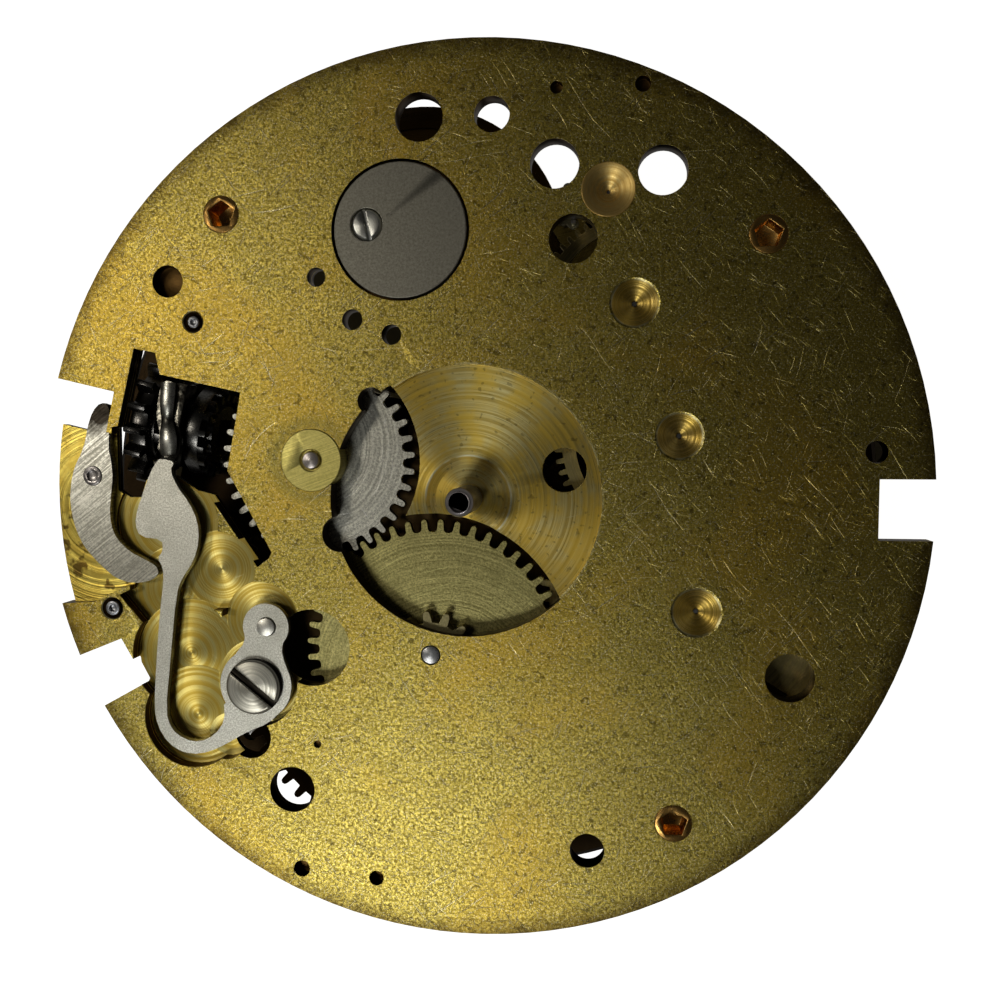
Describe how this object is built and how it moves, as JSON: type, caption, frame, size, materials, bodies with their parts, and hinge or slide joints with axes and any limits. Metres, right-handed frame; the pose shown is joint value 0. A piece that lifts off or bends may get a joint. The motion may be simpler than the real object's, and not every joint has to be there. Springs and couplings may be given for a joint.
{
  "type": "watch movement",
  "caption": "Small round mechanical watch movement, dial side up: plates with motion work, keyless levers, going train, barrel, balance and winding wheels; no dial, hands or stem",
  "frame": {"origin": "centre of the dial face of the main plate, on the axis of the hands", "axes": "+Z out of the dial face towards the dial and hands, +X outwards along the winding stem, +Y completes the right-handed set in the plane of the plate"},
  "size_m": [0.0292, 0.0292, 0.0078],
  "materials": {
    "plate_brass": "aged yellow brass, grained faces, clear-cut bright edges",
    "wheel_brass": "pale brass, turned faces",
    "bush_brass": "bright turned brass",
    "lever_steel": "light grey satin steel",
    "wheel_steel": "bright steel with turning marks",
    "pinion_steel": "dark oiled steel",
    "screw_steel": "polished steel",
    "cap_steel": "dark grey satin steel",
    "spring_steel": "blued spring steel"
  },
  "bodies": {
    "frame": {"main_plate": "plate_brass", "pillars": "plate_brass", "centre_post": "screw_steel", "escape_bush": "bush_brass", "setting_bush": "bush_brass", "balance_cap": "cap_steel", "cap_screw": "screw_steel", "dial_pins": "screw_steel", "return_lever_post": "screw_steel", "return_lever_screw": "screw_steel", "back_plate": "plate_brass", "back_bushes": "bush_brass", "pillar_screws": "screw_steel", "balance_cock": "plate_brass", "cock_screw": "screw_steel", "upper_cap": "cap_steel", "upper_cap_screws": "screw_steel", "hairspring_stud": "screw_steel", "pallet_cock": "plate_brass", "pallet_cock_screw": "screw_steel", "click_screw": "screw_steel", "click_spring": "lever_steel", "crown_wheel_core": "wheel_steel", "crown_core_screws": "screw_steel"},
    "barrel": {"barrel_drum": "wheel_brass", "barrel_cover": "wheel_brass", "mainspring": "spring_steel"},
    "arbor": {"barrel_arbor": "pinion_steel", "ratchet_wheel": "wheel_steel", "ratchet_screw": "screw_steel"},
    "minute": {"minute_wheel": "wheel_brass", "minute_pinion": "wheel_brass"},
    "setting": {"setting_wheel": "wheel_steel", "setting_arbor": "screw_steel"},
    "second": {"second_wheel": "wheel_brass", "second_pinion": "pinion_steel"},
    "third": {"third_wheel": "wheel_brass", "third_pinion": "pinion_steel"},
    "fourth": {"fourth_wheel": "wheel_brass", "fourth_pinion": "pinion_steel"},
    "escape": {"escape_wheel": "wheel_brass", "escape_pinion": "pinion_steel"},
    "pallets": {"pallet_fork": "wheel_brass", "pallet_arbor": "screw_steel", "pallet_pins": "screw_steel"},
    "balance": {"balance_wheel": "wheel_brass", "balance_staff": "screw_steel", "impulse_roller": "wheel_brass", "hairspring_collet": "wheel_brass", "hairspring": "spring_steel"},
    "regulator": {"regulator": "lever_steel"},
    "setting_lever": {"setting_lever": "lever_steel", "setting_lever_screw": "screw_steel"},
    "return_lever": {"return_lever": "lever_steel"},
    "clutch": {"sliding_pinion": "pinion_steel"},
    "winding": {"winding_pinion": "pinion_steel"},
    "crown": {"crown_wheel": "wheel_steel"},
    "click": {"click": "lever_steel"}
  },
  "joints": [
    {"name": "barrel_spin", "type": "hinge", "parent": "frame", "child": "barrel", "pos_m": [0.00004, 0.00535, 0], "axis": [0, 0, 1], "continuous": true},
    {"name": "second_spin", "type": "hinge", "parent": "frame", "child": "second", "pos_m": [-0.00802, 0.00183, 0], "axis": [0, 0, 1], "continuous": true},
    {"name": "third_spin", "type": "hinge", "parent": "frame", "child": "third", "pos_m": [-0.00616, -0.00354, 0], "axis": [0, 0, 1], "continuous": true},
    {"name": "fourth_spin", "type": "hinge", "parent": "frame", "child": "fourth", "pos_m": [-0.00379, -0.0073, 0], "axis": [0, 0, 1], "continuous": true},
    {"name": "escape_spin", "type": "hinge", "parent": "frame", "child": "escape", "pos_m": [-0.00216, -0.01056, 0], "axis": [0, 0, 1], "continuous": true},
    {"name": "arbor_spin", "type": "hinge", "parent": "frame", "child": "arbor", "pos_m": [0.00004, 0.00535, 0], "axis": [0, 0, 1], "continuous": true, "deforming": ["mainspring"]},
    {"name": "crown_spin", "type": "hinge", "parent": "frame", "child": "crown", "pos_m": [0.0085, 0, 0], "axis": [0, 0, 1], "continuous": true},
    {"name": "winding_spin", "type": "hinge", "parent": "frame", "child": "winding", "pos_m": [0.0117, 0, -0.0024], "axis": [1, 0, 0], "continuous": true},
    {"name": "clutch_spin", "type": "hinge", "parent": "return_lever", "child": "clutch", "pos_m": [0.0117, 0, -0.0024], "axis": [1, 0, 0], "continuous": true},
    {"name": "minute_spin", "type": "hinge", "parent": "frame", "child": "minute", "pos_m": [0.00004, 0.00535, 0], "axis": [0, 0, 1], "continuous": true},
    {"name": "setting_spin", "type": "hinge", "parent": "frame", "child": "setting", "pos_m": [0.0054, -0.00003, 0], "axis": [0, 0, 1], "continuous": true},
    {"name": "setting_lever_swing", "type": "hinge", "parent": "frame", "child": "setting_lever", "pos_m": [0.01277, 0.00225, 0], "axis": [0, 0, 1], "range_deg": [0, 9.5]},
    {"name": "return_lever_shift", "type": "slide", "parent": "frame", "child": "return_lever", "axis": [-1, 0, 0], "range_m": [0, 0.00093], "deforming": ["return_lever"]},
    {"name": "pallet_swing", "type": "hinge", "parent": "frame", "child": "pallets", "pos_m": [-0.00076, -0.00998, 0], "axis": [0, 0, 1], "range_deg": [-5, 5]},
    {"name": "balance_swing", "type": "hinge", "parent": "frame", "child": "balance", "pos_m": [0.00411, -0.00797, 0], "axis": [0, 0, 1], "range_deg": [-140, 140], "deforming": ["hairspring"]},
    {"name": "regulator_turn", "type": "hinge", "parent": "frame", "child": "regulator", "pos_m": [0.00411, -0.00797, 0], "axis": [0, 0, 1], "range_deg": [-25, 25]},
    {"name": "click_swing", "type": "hinge", "parent": "frame", "child": "click", "pos_m": [0.00658, 0.01098, 0], "axis": [0, 0, 1], "range_deg": [-8, 0]}
  ],
  "couplings": [
    {"joint": "second_spin", "follows": "barrel_spin", "ratio": -6},
    {"joint": "third_spin", "follows": "barrel_spin", "ratio": 45},
    {"joint": "fourth_spin", "follows": "barrel_spin", "ratio": -360},
    {"joint": "escape_spin", "follows": "barrel_spin", "ratio": 2400},
    {"joint": "crown_spin", "follows": "arbor_spin", "ratio": -2.1667},
    {"joint": "winding_spin", "follows": "arbor_spin", "ratio": -3.0588},
    {"joint": "clutch_spin", "follows": "arbor_spin", "ratio": -3.0588},
    {"joint": "setting_spin", "follows": "minute_spin", "ratio": -1.3333},
    {"joint": "setting_lever_swing", "follows": "return_lever_shift", "rad_per_m": 178}
  ]
}
